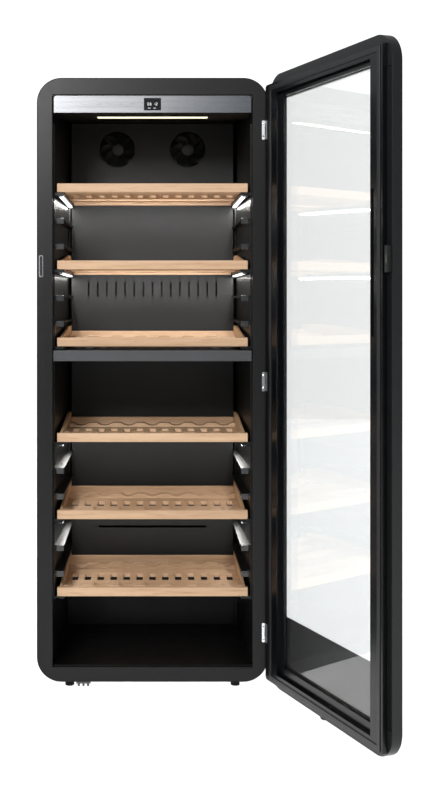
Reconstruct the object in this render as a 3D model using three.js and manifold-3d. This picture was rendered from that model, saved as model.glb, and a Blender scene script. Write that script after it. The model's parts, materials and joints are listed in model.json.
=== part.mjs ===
// A free-standing two-zone wine cooler with its glass door standing open.
// Millimetres, +Z up, +Y to the back, +X to the hinge side.
// The origin is the middle of the base plate's underside; the feet reach below it.

import * as THREE from "three";
import { mergeVertices } from "three/addons/utils/BufferGeometryUtils.js";
import Module from "manifold-3d";

const wasm = await Module();
wasm.setup();

// ---------------------------------------------------------------- driving dimensions

const GAP = 0.3; // left between two pieces that touch
const RUNNING = 0.5; // left between a sliding piece and what guides it

const cabinet = { width: 700, height: 1828, depth: 640, corner: 75, sheet: 1.2 };
const bezel = { side: 47.5, top: 52, bottom: 45, depth: 12, edge: 2 };
const liner = {
  wall: 2,
  floor: 48, // above the base
  ceilingDrop: 70, // below the cabinet's top
  depth: 590, // from the front plane to the back wall
  behindPanel: 1, // the lower zone ends this far behind its duct cover
  taper: 17.5, // each side wall leans in by this much from front to back
  flange: 16,
};
const bay = { height: 222, insulation: 37, ceiling: 36 }; // the compressor's space
const foamFront = 15; // where the insulation begins
const foot = { radius: 14, reach: 22, inset: 97, front: 45, back: 590, stem: 5 };
const panel = { front: 470, sheet: 3, inset: 27.5 }; // the air-duct covers
const fan = { size: 130, duct: 61, blade: 57, hub: 20.5, apart: 240, belowCeiling: 89, depth: 25 };
const vent = { count: 15, width: 6, height: 50, margin: 57, aboveShelf: 152 };
const returnSlot = { width: 367, height: 8, aboveStep: 117 };
const divider = { thickness: 33, front: 6, aboveIt: 11 };
const control = { height: 51, front: 3, boxDepth: 138, side: 4, top: 2 };
const display = { width: 51, height: 37, proud: 0.8, depth: 5 };
const lamp = { length: 355, depth: 40, height: 4, front: 60 };
const rail = { sheet: 3, ledge: 8, reach: 269, front: 30, toPanel: 18, perPitch: 3 };
const bar = { width: 12.5, height: 6, setIn: 4, front: 20, link: 6, toPanel: 3 }; // side lights
const shelf = {
  clearance: 12, // from the liner's side to the fascia's end
  front: 25,
  fasciaHeight: 27,
  fasciaDepth: 18,
  board: 9,
  boardRise: 28,
  boardLevel: 350, // where the side board's top stops climbing
  boardInset: 18.5,
  toPanel: 18, // from the back rail to the duct cover
  backDrop: 8, // the back rail hangs below the rest
};
const cradle = { pitch: 79, radius: 38, depth: 9, bar: 48 }; // where one bottle lies
const slotRow = { pitch: 41.3, width: 21, length: 90, board: 212 };
const bays = { top: 247, bottom: 232, middle: 291 }; // above shelf 1, below shelf 6, across the divider
const door = { narrower: 1, thickness: 28, standOff: 18, open: 110.5 };
const glazing = { side: 105, hingeSide: 68, end: 72, pane: 4, edge: 8.5, behindRim: 8, lip: 1.7, air: 10 };
const doorLiner = {
  side: 24,
  hingeSide: 8,
  top: 27,
  bottom: 15,
  corner: 10,
  raisedSide: 83, // the raised ring's inner edge, from the door's side
  raisedEnd: 32, // the raised ring's width above and below
  toCabinet: 3, // left to the front frame when the door is shut
  flat: 1.7,
};
const gasket = { width: 14, side: 34, top: 34, bottom: 22, depth: 9 };
const hinge = {
  inset: 5,
  levels: [1669, 909, 150],
  half: 29,
  leaf: 16,
  plate: 3, // the cabinet's leaf
  doorPlate: 2,
  clear: 0.9, // between the knuckle and the cabinet's leaf
  doorClear: 1.5, // between the knuckle and the door's leaf
  pin: 2.5,
};
const grip = { height: 375, width: 38, outer: 50, depth: 22, wall: 2.5, centre: 1250 };
const lock = { inset: 13, height: 1258, barrel: 7, boltHeight: 24, boltWidth: 4 };
const strike = { width: 13.4, height: 67, sheet: 1.2, slot: 5, slotHeight: 59, pocket: 10 };

// ---------------------------------------------------------------- what follows from them

const halfWidth = cabinet.width / 2;
const openingHalf = halfWidth - bezel.side;
const openingTop = cabinet.height - bezel.top;
const ceiling = cabinet.height - liner.ceilingDrop;
const shellBack = cabinet.depth;
const bayTop = 2 + bay.height;
const stepHeight = bayTop + bay.ceiling + liner.wall;
const lowerDepth = panel.front + panel.sheet + liner.behindPanel;
const bayFront = lowerDepth + liner.wall + bay.insulation;
const foamBack = cabinet.depth - 2;
const floorArc = halfWidth - cabinet.corner; // the flat part of the underside
const panelHalf = openingHalf - panel.inset;
const pitch = (ceiling - liner.floor - bays.top - bays.bottom - bays.middle) / 4;
const lowest = liner.floor + bays.bottom;
const shelfTops = [
  lowest + 4 * pitch + bays.middle,
  lowest + 3 * pitch + bays.middle,
  lowest + 2 * pitch + bays.middle,
  lowest + 2 * pitch,
  lowest + pitch,
  lowest,
];
const dividerTop = shelfTops[2] - shelf.fasciaHeight - divider.aboveIt;
const dividerBottom = dividerTop - divider.thickness;
const fanHeight = ceiling - fan.belowCeiling;
const controlTop = openingTop - control.top;
const controlBottom = controlTop - control.height;
const rimBack = -door.standOff; // the door frame's face toward the cabinet, door shut
const rimFront = rimBack - door.thickness;
const cabinetLeaf = GAP + hinge.plate + hinge.clear;
const doorLeaf = GAP + hinge.doorPlate + hinge.doorClear;
const knuckle = (door.standOff - cabinetLeaf - doorLeaf) / 2; // fills the space between the two leaves
const hingeAxis = { x: halfWidth - hinge.inset, y: -cabinetLeaf - knuckle };
const railBack = panel.front - rail.toPanel;
const lightBack = panel.front - bar.toPanel;
const shelfBack = panel.front - shelf.toPanel;
const linerHeight = door.standOff - doorLiner.toCabinet;
const lockX = -(halfWidth - lock.inset);

/** Half the liner's inner width at a distance behind the front plane. */
const linerHalf = (y) =>
  openingHalf - (liner.taper * (y - bezel.depth)) / (liner.depth - bezel.depth);

// ---------------------------------------------------------------- solids

/** A three.js geometry as a closed manifold-3d solid. */
function solid(geometry) {
  const bare = geometry.index ? geometry.toNonIndexed() : geometry;
  bare.deleteAttribute("normal");
  bare.deleteAttribute("uv");
  const merged = mergeVertices(bare, 1e-4);
  const vertProperties = new Float32Array(merged.attributes.position.array);
  const triVerts = new Uint32Array(merged.index.array);
  return new wasm.Manifold(new wasm.Mesh({ numProp: 3, vertProperties, triVerts }));
}

/** A manifold-3d solid as a three.js geometry with flat faces. */
function geometryOf(body) {
  const made = body.getMesh();
  const geometry = new THREE.BufferGeometry();
  geometry.setAttribute("position", new THREE.BufferAttribute(made.vertProperties, 3));
  geometry.setIndex(new THREE.BufferAttribute(made.triVerts, 1));
  const flat = geometry.toNonIndexed();
  flat.computeVertexNormals();
  return flat;
}

const join = (first, ...rest) => rest.reduce((sum, piece) => sum.add(piece), first);
const cut = (first, ...rest) => rest.reduce((left, piece) => left.subtract(piece), first);

function box(x0, x1, y0, y1, z0, z1) {
  const geometry = new THREE.BoxGeometry(x1 - x0, y1 - y0, z1 - z0);
  return solid(geometry.translate((x0 + x1) / 2, (y0 + y1) / 2, (z0 + z1) / 2));
}

/** A closed outline through points, each an [a, b] pair. */
const outline = (points) => new THREE.Shape(points.map(([a, b]) => new THREE.Vector2(a, b)));

/** A rectangle with round corners; top and bottom pairs may differ. */
function roundedRect(a0, a1, b0, b1, radius, bottomRadius = radius) {
  const shape = new THREE.Shape();
  const right = Math.PI / 2;
  shape.moveTo(a0 + bottomRadius, b0);
  shape.absarc(a1 - bottomRadius, b0 + bottomRadius, bottomRadius, -right, 0, false);
  shape.absarc(a1 - radius, b1 - radius, radius, 0, right, false);
  shape.absarc(a0 + radius, b1 - radius, radius, right, 2 * right, false);
  shape.absarc(a0 + bottomRadius, b0 + bottomRadius, bottomRadius, 2 * right, 3 * right, false);
  return shape;
}

const rect = (a0, a1, b0, b1) => outline([[a0, b0], [a1, b0], [a1, b1], [a0, b1]]);

function withHole(shape, hole) {
  shape.holes.push(hole);
  return shape;
}

const extrude = (shape, depth, segments) =>
  new THREE.ExtrudeGeometry(shape, { depth, bevelEnabled: false, curveSegments: segments });

/** An outline drawn in X and Y, between two heights. */
function prismZ(shape, z0, z1, segments = 10) {
  return solid(extrude(shape, z1 - z0, segments).translate(0, 0, z0));
}

/** An outline drawn in X and Z, from y0 back to y1. */
function prismY(shape, y0, y1, segments = 10) {
  return solid(extrude(shape, y1 - y0, segments).rotateX(Math.PI / 2).translate(0, y1, 0));
}

/** An outline drawn in Y and Z, between two places along X. */
function prismX(shape, x0, x1, segments = 10) {
  const geometry = extrude(shape, x1 - x0, segments).rotateX(Math.PI / 2).rotateZ(Math.PI / 2);
  return solid(geometry.translate(x0, 0, 0));
}

/** A round bar along x, y or z, centred on (a, b) of the other two axes. */
function rod(axis, radius, from, to, a, b, sides = 16) {
  const geometry = new THREE.CylinderGeometry(radius, radius, to - from, sides);
  const middle = (from + to) / 2;
  if (axis === "x") geometry.rotateZ(Math.PI / 2).translate(middle, a, b);
  if (axis === "y") geometry.translate(a, middle, b);
  if (axis === "z") geometry.rotateX(Math.PI / 2).translate(a, b, middle);
  return solid(geometry);
}

/** A profile of [radius, height] points from axis to axis, turned about a vertical axis. */
function turned(points, x, y, sides = 20) {
  const profile = points.map(([r, h]) => new THREE.Vector2(r, h));
  const geometry = new THREE.LatheGeometry(profile, sides);
  return solid(geometry.rotateX(Math.PI / 2).translate(x, y, 0));
}

/** A slab that follows the liner's leaning side walls, set in from them. */
function betweenWalls(inset, y0, y1, z0, z1) {
  const front = linerHalf(y0) - inset;
  const back = linerHalf(y1) - inset;
  return prismZ(outline([[-front, y0], [front, y0], [back, y1], [-back, y1]]), z0, z1);
}

/** Numbers evenly spread about zero. */
const spread = (count, step) => Array.from({ length: count }, (_, i) => (i - (count - 1) / 2) * step);

// ---------------------------------------------------------------- materials

const paint = (color, roughness, metalness = 0, more = {}) =>
  new THREE.MeshStandardMaterial({ color, roughness, metalness, flatShading: true, ...more });

const material = {
  casing: paint(0x4b4d4f, 0.45, 0.6),
  galvanised: paint(0x9a9c9d, 0.5, 0.9),
  foam: paint(0xe6d9a8, 0.95),
  linerPlastic: paint(0x2c2d30, 0.6),
  greyPlastic: paint(0x4a4b4f, 0.55),
  brushed: paint(0xc9ccd0, 0.3, 1),
  blackGlass: paint(0x08090a, 0.1),
  beech: paint(0xe0b996, 0.6),
  light: paint(0xffffff, 0.4, 0, { emissive: 0xfff6e6, emissiveIntensity: 2 }),
  chrome: paint(0xd5d7d9, 0.15, 1),
  rubber: paint(0x17181a, 0.8),
  blackSteel: paint(0x141516, 0.5, 0.4),
  copper: paint(0xb46a3c, 0.35, 1),
  board: paint(0x1e5b34, 0.6),
  doorMetal: paint(0x2b2d2e, 0.4, 0.6),
  doorPlastic: paint(0x2b2e35, 0.45),
  glass: paint(0xeef4f4, 0.03, 0, { transparent: true, opacity: 0.25 }),
};

// ---------------------------------------------------------------- the cabinet's casing

/** The cabinet's outline in X and Z, set in evenly. */
const casingOutline = (inset) =>
  roundedRect(
    inset - halfWidth,
    halfWidth - inset,
    inset,
    cabinet.height - inset,
    cabinet.corner - inset,
  );

function outerShell() {
  const wrap = withHole(casingOutline(0), casingOutline(cabinet.sheet));
  const floorGap = box(-floorArc - GAP, floorArc + GAP, 0, shellBack + 1, -1, 3);
  return cut(prismY(wrap, bezel.depth + GAP, shellBack), floorGap);
}

function boltPocket() {
  const half = strike.slotHeight / 2;
  const wide = strike.slot / 2;
  return box(lockX - wide, lockX + wide, -1, strike.pocket, lock.height - half, lock.height + half);
}

function frontBezel() {
  const face = withHole(
    casingOutline(0),
    rect(-openingHalf, openingHalf, bezel.bottom, openingTop),
  );
  const geometry = new THREE.ExtrudeGeometry(face, {
    depth: bezel.depth - 2 * bezel.edge,
    bevelThickness: bezel.edge,
    bevelSize: bezel.edge,
    bevelOffset: -bezel.edge,
    bevelSegments: 1,
    curveSegments: 10,
  });
  const placed = geometry.rotateX(Math.PI / 2).translate(0, bezel.depth - bezel.edge, 0);
  return cut(solid(placed), boltPocket());
}

/** The cavity that the liner lines, grown by a margin on every wall. */
function cavity(margin, front) {
  const upper = betweenWalls(-margin, front, liner.depth + margin, stepHeight - margin, ceiling + margin);
  const whole = betweenWalls(-margin, front, lowerDepth + margin, liner.floor - margin, ceiling);
  return join(upper, whole);
}

function innerLiner() {
  const front = bezel.depth + 2 * GAP;
  const edge = openingHalf + liner.flange;
  const flange = prismY(
    rect(-edge, edge, liner.floor - liner.flange, ceiling + liner.flange),
    front,
    front + liner.wall,
  );
  return cut(join(cavity(liner.wall, front), flange), cavity(0, front - 1));
}

const footPlaces = {
  levelling_foot_left: [-1, foot.front],
  levelling_foot_right: [1, foot.front],
  rear_foot_left: [-1, foot.back],
  rear_foot_right: [1, foot.back],
};
const footX = halfWidth - foot.inset;
const stemTop = 13;

function footHoles(radius, z0, z1) {
  return Object.values(footPlaces).map(([side, y]) => rod("z", radius, z0, z1, side * footX, y));
}

function foamInsulation() {
  const block = prismY(casingOutline(cabinet.sheet + GAP), foamFront, foamBack);
  return cut(
    block,
    cavity(liner.wall + GAP, foamFront - 1),
    box(-floorArc, floorArc, bayFront, shellBack, 1, bayTop),
    box(-floorArc - 2 * GAP, floorArc + 2 * GAP, 0, shellBack, 0, 2 + GAP),
    ...footHoles(foot.stem + 2, 1, stemTop + 2),
  );
}

function rearPanel() {
  const sheet = prismY(casingOutline(cabinet.sheet + GAP), foamBack + GAP, shellBack - 0.5);
  return cut(sheet, box(-floorArc - GAP, floorArc + GAP, foamBack, shellBack, -1, bayTop));
}

function basePlate() {
  const plate = box(-floorArc, floorArc, bezel.depth + GAP, shellBack, 0, 2);
  return cut(plate, ...footHoles(foot.stem + RUNNING, -1, 3));
}

function screwFoot([side, y]) {
  const low = -foot.reach;
  const profile = [
    [0, low],
    [foot.radius - 1.5, low],
    [foot.radius, low + 1.5],
    [foot.radius, -5],
    [foot.radius - 3, -3],
    [foot.stem, -3],
    [foot.stem, stemTop],
    [0, stemTop],
  ];
  return turned(profile, side * footX, y);
}

/** The lower hinge's spare plate, for turning the door round, with its three screws. */
function spareHingePlate() {
  const middle = 43 - footX;
  const screws = spread(3, 14).map((dx) => rod("z", 3.5, -19, -3, middle + dx, 24, 10));
  return join(box(middle - 22, middle + 22, 16, 40, -10, -GAP), ...screws);
}

// ---------------------------------------------------------------- cooling

function compressor() {
  const base = 2 + GAP;
  const x = -80;
  const y = (bayFront + shellBack) / 2;
  const profile = [
    [0, base + 26],
    [48, base + 26],
    [60, base + 36],
    [64, base + 80],
    [68, base + 82],
    [68, base + 88],
    [64, base + 90],
    [60, base + 138],
    [46, base + 156],
    [0, base + 162],
  ];
  const pot = turned(profile, 0, 0, 24).scale([1, 0.82, 1]).translate([x, y, 0]);
  const legs = box(x - 84, x + 84, y - 50, y + 50, base + 20, base + 28);
  const grommets = [-1, 1].flatMap((i) =>
    [-1, 1].map((j) => rod("z", 9, base, base + 21, x + 72 * i, y + 38 * j, 12)),
  );
  const terminals = box(x + 58, x + 92, y - 24, y + 24, base + 60, base + 118);
  return join(pot, legs, terminals, ...grommets);
}

function condenserCoil() {
  const tube = 3;
  const passes = 10;
  const half = halfWidth - 90;
  const y = shellBack + 14;
  const bottom = bayTop + 76;
  const step = (cabinet.height - 190 - bottom) / (passes - 1);
  const heights = Array.from({ length: passes }, (_, i) => bottom + i * step);
  const round = new THREE.Shape().absarc(0, 0, tube, 0, 2 * Math.PI, false);
  const runs = heights.map((z) => rod("x", tube, -half - 1, half + 1, y, z, 8));
  const bends = heights.slice(1).map((z, i) => {
    const side = i % 2 ? -1 : 1;
    const middle = z - step / 2;
    const points = Array.from({ length: 7 }, (_, k) => {
      const angle = (Math.PI * k) / 6 - Math.PI / 2;
      const out = side * (half + 40 * Math.cos(angle));
      return new THREE.Vector3(out, y, middle + (step / 2) * Math.sin(angle));
    });
    const extrudePath = new THREE.CatmullRomCurve3(points);
    return solid(new THREE.ExtrudeGeometry(round, { steps: 8, extrudePath, curveSegments: 4 }));
  });
  const top = heights[passes - 1] + 20;
  const bars = [-1, 1].map((s) =>
    box(s * 200 - 8, s * 200 + 8, shellBack + GAP, y, bottom - 20, top),
  );
  return join(...runs, ...bends, ...bars);
}

const grilleHalf = floorArc + 14;
const inlet = { x: 232, z: 62, width: 27, height: 20, flange: 6 };

function rearGrille() {
  const y0 = shellBack + GAP;
  const sheet = box(-grilleHalf, grilleHalf, y0, y0 + cabinet.sheet, 6, bayTop + 12);
  const slots = spread(9, 44).map((x) =>
    box(x - 30 - 6, x - 30 + 6, y0 - 1, y0 + 3, 40, bayTop - 40),
  );
  const w = inlet.width / 2 + GAP;
  const h = inlet.height / 2 + GAP;
  const hole = box(inlet.x - w, inlet.x + w, y0 - 1, y0 + 3, inlet.z - h, inlet.z + h);
  return cut(sheet, ...slots, hole);
}

/** The appliance inlet, whose socket faces back. */
function powerInlet() {
  const face = shellBack + 2 * GAP + cabinet.sheet;
  const around = (more, y0, y1) =>
    box(
      inlet.x - inlet.width / 2 - more,
      inlet.x + inlet.width / 2 + more,
      y0,
      y1,
      inlet.z - inlet.height / 2 - more,
      inlet.z + inlet.height / 2 + more,
    );
  const body = join(around(0, face - 24, face + 1), around(inlet.flange, face, face + 3));
  return cut(body, around(-3, face - 14, face + 5));
}

// ---------------------------------------------------------------- air duct and fans

/** A duct cover: a flat sheet with a return at each side, back to the liner. */
function ductPanel(bottom, top, returnBottom) {
  const inner = panelHalf - panel.sheet;
  const back = liner.depth - 2;
  const front = panel.front + panel.sheet;
  return join(
    box(-panelHalf, panelHalf, panel.front, front, bottom, top),
    box(inner, panelHalf, panel.front, back, returnBottom, top),
    box(-panelHalf, -inner, panel.front, back, returnBottom, top),
  );
}

function upperDuctPanel() {
  const sheet = ductPanel(dividerTop + 1, ceiling - 1.5, dividerTop + 1);
  const y0 = panel.front - 1;
  const y1 = panel.front + panel.sheet + 1;
  const fanHoles = [-1, 1].map((s) =>
    rod("y", fan.duct, y0, y1, (s * fan.apart) / 2, fanHeight, 28),
  );
  const step = (2 * (panelHalf - vent.margin)) / (vent.count - 1);
  const middle = shelfTops[2] + vent.aboveShelf;
  const slots = spread(vent.count, step).map((x) =>
    box(x - vent.width / 2, x + vent.width / 2, y0, y1, middle - vent.height / 2, middle + vent.height / 2),
  );
  return cut(sheet, ...fanHoles, ...slots);
}

function lowerDuctPanel() {
  const sheet = ductPanel(liner.floor + 1, dividerBottom - 1, stepHeight + 2);
  const low = stepHeight + returnSlot.aboveStep;
  const half = returnSlot.width / 2;
  const slot = box(-half, half, panel.front - 1, panel.front + 9, low, low + returnSlot.height);
  return cut(sheet, slot);
}

const fanFront = panel.front + panel.sheet + GAP;

function fanFrame(side) {
  const x = (side * fan.apart) / 2;
  const half = fan.size / 2;
  const back = fanFront + fan.depth;
  const square = roundedRect(x - half, x + half, fanHeight - half, fanHeight + half, 8);
  const bore = new THREE.Path().absarc(x, fanHeight, fan.duct, 0, 2 * Math.PI, true);
  const ring = prismY(withHole(square, bore), fanFront, back, 14);
  const struts = [0, 1].map((turn) =>
    solid(
      new THREE.BoxGeometry(2 * fan.duct + 2, 4, 5)
        .rotateY((turn * Math.PI) / 2 + Math.PI / 4)
        .translate(x, back - 2, fanHeight),
    ),
  );
  return join(ring, ...struts, rod("y", fan.hub, back - 7, back, x, fanHeight, 20));
}

function fanRotor(side) {
  const x = (side * fan.apart) / 2;
  const front = fanFront + 1;
  const back = fanFront + fan.depth - 8;
  const blades = Array.from({ length: 7 }, (_, i) => {
    const root = fan.hub - 3;
    const blade = new THREE.BoxGeometry(fan.blade - root, 2, 19)
      .rotateX(THREE.MathUtils.degToRad(50))
      .translate((fan.blade + root) / 2, 0, 0)
      .rotateY((i * 2 * Math.PI) / 7)
      .translate(x, (front + back) / 2, fanHeight);
    return solid(blade);
  });
  return join(rod("y", fan.hub, front, back, x, fanHeight, 24), ...blades);
}

function evaporator() {
  const top = fanHeight - fan.size / 2 - 20;
  const bottom = top - 300;
  const half = panelHalf - 45;
  const y = fanFront + fan.depth + 30;
  const channels = Array.from({ length: 6 }, (_, i) => {
    const z = bottom + 30 + i * 48;
    return box(15 - half, half - 15, y - 5, y + 1, z - 5, z + 5);
  });
  return join(box(-half, half, y, y + 2, bottom, top), ...channels);
}

// ---------------------------------------------------------------- divider, control box and lamps

const zoneDivider = () => betweenWalls(1.5, divider.front, panel.front - GAP, dividerBottom, dividerTop);

function lampLens(front, depth, top) {
  const half = lamp.length / 2;
  return box(-half, half, front, front + depth, top - lamp.height - GAP, top - GAP);
}

const controlBoxFront = bezel.depth + 2 * GAP;
const controlBoxBack = controlBoxFront + control.boxDepth;

function controlBox() {
  const wall = 2;
  const tray = betweenWalls(1.2, controlBoxFront, controlBoxBack, controlBottom, ceiling - 2 * GAP);
  const inside = betweenWalls(
    1.2 + wall,
    controlBoxFront + wall,
    controlBoxBack - wall,
    controlBottom + wall,
    ceiling + 1,
  );
  return cut(tray, inside);
}

function controlBoard() {
  const bottom = controlBottom + 2 + GAP;
  const posts = [-1, 1].flatMap((i) =>
    [36, 104].map((y) => rod("z", 3, bottom, bottom + 5, i * 110, y, 8)),
  );
  const chips = box(-30, 30, 50, 80, bottom + 5, bottom + 12);
  return join(box(-120, 120, 30, 110, bottom + 4, bottom + 5.6), chips, ...posts);
}

const fasciaBack = bezel.depth + GAP;
const displayHeight = (controlTop + controlBottom) / 2;

/** The display's rectangle in X and Z, grown by a margin. */
function displayRect(margin) {
  const w = display.width / 2 + margin;
  const h = display.height / 2 + margin;
  return rect(-w, w, displayHeight - h, displayHeight + h);
}

function controlFascia() {
  const half = openingHalf - control.side;
  const face = roundedRect(-half, half, controlBottom, controlTop, 8, 1.5);
  return prismY(withHole(face, displayRect(GAP)), control.front, fasciaBack, 5);
}

function displayWindow() {
  const front = control.front - display.proud;
  return prismY(displayRect(0), front, front + display.depth);
}

// ---------------------------------------------------------------- shelf rails and side lights

const ledgeTop = (shelfTop) => shelfTop - shelf.fasciaHeight - RUNNING;

/** One side's rail: a sheet on the liner's wall with a ledge at every place a shelf can go. */
function sideRail(side, tops, bottom, top) {
  const { front, reach } = rail;
  const back = railBack;
  const strip = (near, far) =>
    outline([
      [side * near(front), front],
      [side * far(front), front],
      [side * far(back), back],
      [side * near(back), back],
    ]);
  const wallSide = (y) => linerHalf(y) - GAP;
  const sheet = prismZ(strip((y) => wallSide(y) - rail.sheet, wallSide), bottom, top);
  const between = Array.from({ length: rail.perPitch * 2 + 1 }, (_, i) => i * (pitch / rail.perPitch));
  const ledges = between.map((down) => {
    const z = ledgeTop(tops[0]) - down;
    return prismZ(strip(() => reach, (y) => wallSide(y) - 1), z - rail.ledge, z);
  });
  return join(sheet, ...ledges);
}

/** One side's lights: a bar under each of two shelves' ledges, joined at the back. */
function sideLight(side, tops) {
  const inner = rail.reach + bar.setIn;
  const outer = inner + bar.width;
  const barTops = tops.slice(0, 2).map((top) => ledgeTop(top) - rail.ledge - GAP);
  const across = (a, b) => [side * a, side * b].sort((p, q) => p - q);
  const bars = barTops.map((z) =>
    box(...across(inner, outer), bar.front, lightBack, z - bar.height, z),
  );
  const link = box(
    ...across(outer - bar.link, outer),
    railBack + 4,
    lightBack,
    barTops[1] - 1,
    barTops[0] - 1,
  );
  return join(...bars, link);
}

// ---------------------------------------------------------------- shelves

const boardOuter = openingHalf - shelf.boardInset;
const boardInner = boardOuter - shelf.board;

/** A cross bar with a round seat for each bottle. */
function cradleBar(y, top) {
  const low = top - shelf.fasciaHeight;
  const plain = box(-boardInner - 1, boardInner + 1, y, y + cradle.bar, low, top - 2);
  const count = Math.floor((2 * boardInner) / cradle.pitch + 0.1);
  const seats = spread(count, cradle.pitch).map((x) => {
    const middle = top - 2 - cradle.depth + cradle.radius;
    return rod("y", cradle.radius, y - 1, y + cradle.bar + 1, x, middle, 24);
  });
  return cut(plain, ...seats);
}

/** The wide board with a row of slots through it. */
function slottedBoard(y, top) {
  const end = y + slotRow.board;
  const board = box(-boardInner - 1, boardInner + 1, y, end, top - 24, top - 12);
  const count = Math.floor((2 * boardInner - 10) / slotRow.pitch);
  const y0 = y + (slotRow.board - slotRow.length) / 2;
  const slots = spread(count, slotRow.pitch).map((x) =>
    box(x - slotRow.width / 2, x + slotRow.width / 2, y0, y0 + slotRow.length, top - 25, top),
  );
  return cut(board, ...slots);
}

/** A side board: level with the fascia in front, climbing to its full height behind. */
function sideBoard(side, top) {
  const front = shelf.front + shelf.fasciaDepth - 1;
  const profile = outline([
    [front, top - shelf.fasciaHeight],
    [shelfBack, top - shelf.fasciaHeight],
    [shelfBack, top + shelf.boardRise],
    [shelf.boardLevel, top + shelf.boardRise],
    [front, top],
  ]);
  const middle = (side * (boardInner + boardOuter)) / 2;
  return prismX(profile, middle - shelf.board / 2, middle + shelf.board / 2);
}

function wineShelf(top) {
  const bottom = top - shelf.fasciaHeight;
  const fasciaHalf = openingHalf - shelf.clearance;
  const behind = shelf.front + shelf.fasciaDepth;
  const fascia = box(-fasciaHalf, fasciaHalf, shelf.front, behind, bottom, top);
  const railHalf = rail.reach - 3;
  const backRail = join(
    box(-boardInner - 1, boardInner + 1, shelfBack - 18, shelfBack, bottom, top + 10),
    box(-railHalf, railHalf, shelfBack - 18, shelfBack, bottom - shelf.backDrop, bottom + 1),
  );
  return join(
    fascia,
    sideBoard(-1, top),
    sideBoard(1, top),
    cradleBar(behind + 20, top),
    slottedBoard(behind + 75, top),
    cradleBar(shelfBack - 100, top),
    backRail,
  );
}

// ---------------------------------------------------------------- hinges and strike plate

function hingeBracket(level) {
  const { x, y } = hingeAxis;
  const { half, pin } = hinge;
  const inner = x - hinge.leaf;
  const outer = x + 1;
  const leaf = outline([
    [inner, level - half + 6],
    [inner + 6, level - half],
    [outer, level - half],
    [outer, level + half],
    [inner + 6, level + half],
    [inner, level + half - 6],
  ]);
  return join(
    prismY(leaf, -hinge.plate - GAP, -GAP),
    box(x - 7, outer, y, -2, level - 12, level + 12),
    rod("z", knuckle, level - 12, level + 12, x, y),
    rod("z", pin, level - half + 1, level + half - 1, x, y, 12),
  );
}

/** The door's half of a hinge, on the door's back face, door shut. */
function doorHingeEar(level) {
  const { x, y } = hingeAxis;
  const { half, pin } = hinge;
  const face = rimBack + GAP;
  const bore = rod("z", pin + 0.45, level - half - 1, level + half + 1, x, y, 12);
  const ends = [
    [12 + RUNNING, half - 1.5],
    [1.5 - half, -12 - RUNNING],
  ];
  const knuckles = ends.map(([z0, z1]) =>
    join(
      rod("z", knuckle, level + z0, level + z1, x, y),
      box(x - knuckle + 1, x + knuckle - 1, face, y, level + z0, level + z1),
    ),
  );
  const leaf = box(x + 1 - hinge.leaf, x + 3, face, face + hinge.doorPlate, level - half, level + half);
  return cut(join(leaf, ...knuckles), bore);
}

function strikePlate() {
  const { width, height, sheet, slot, slotHeight } = strike;
  const around = (w, h) =>
    roundedRect(lockX - w / 2, lockX + w / 2, lock.height - h / 2, lock.height + h / 2, w / 3);
  return prismY(withHole(around(width, height), around(slot, slotHeight)), -sheet - GAP, -GAP, 4);
}

// ---------------------------------------------------------------- the door, drawn shut

const doorHalf = (cabinet.width - door.narrower) / 2;
const glassHalf = doorHalf - glazing.side;
const glassBottom = glazing.end;
const glassTop = cabinet.height - glazing.end;

/** The glass opening's rectangle in X and Z, grown by a margin. */
const glassRect = (margin) =>
  rect(-glassHalf - margin, glassHalf + margin, glassBottom - margin, glassTop + margin);

/** The frame's opening seen from the front, which is wider on the hinge side. */
const frontGlassRect = (margin) =>
  rect(
    -glassHalf - margin,
    doorHalf - glazing.hingeSide + margin,
    glassBottom - margin,
    glassTop + margin,
  );

const innerPaneBack = rimBack - glazing.behindRim;
const outerPaneFront = rimFront + glazing.lip + GAP;
const gripX = -(halfWidth - grip.outer - grip.width / 2);

function gripRect(margin) {
  const w = grip.width / 2 + margin;
  const h = grip.height / 2 + margin;
  return rect(gripX - w, gripX + w, grip.centre - h, grip.centre + h);
}

const boltBack = rimBack - 10;
const bossFace = rimBack + 12; // the lock's boss stands this far toward the cabinet

function doorFrame() {
  const edge = roundedRect(-doorHalf, doorHalf, 0, cabinet.height, cabinet.corner);
  const slab = prismY(edge, rimFront, rimBack);
  const half = strike.height / 2;
  const boss = box(lockX - 7, lockX + 7, rimBack - 4, bossFace, lock.height - half, lock.height + half);
  const boltSlot = box(
    lockX - lock.boltWidth / 2 - GAP,
    lockX + lock.boltWidth / 2 + GAP,
    boltBack - GAP,
    bossFace + 1,
    lock.height - lock.boltHeight / 2 - GAP,
    lock.height + lock.boltHeight / 2 + GAP,
  );
  const groove = box(-doorHalf + 5, -doorHalf + 22, rimBack - 3, rimBack + 1, 80, cabinet.height - 87);
  return cut(
    join(cut(slab, groove), boss),
    prismY(frontGlassRect(0), rimFront - 1, rimBack + 1),
    prismY(frontGlassRect(glazing.edge), rimFront + glazing.lip, rimBack + 1),
    prismY(gripRect(GAP), rimFront - 1, rimFront + grip.depth + GAP),
    rod("y", lock.barrel + GAP, rimFront - 1, rimFront + 17, lockX, lock.height, 20),
    boltSlot,
  );
}

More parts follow.
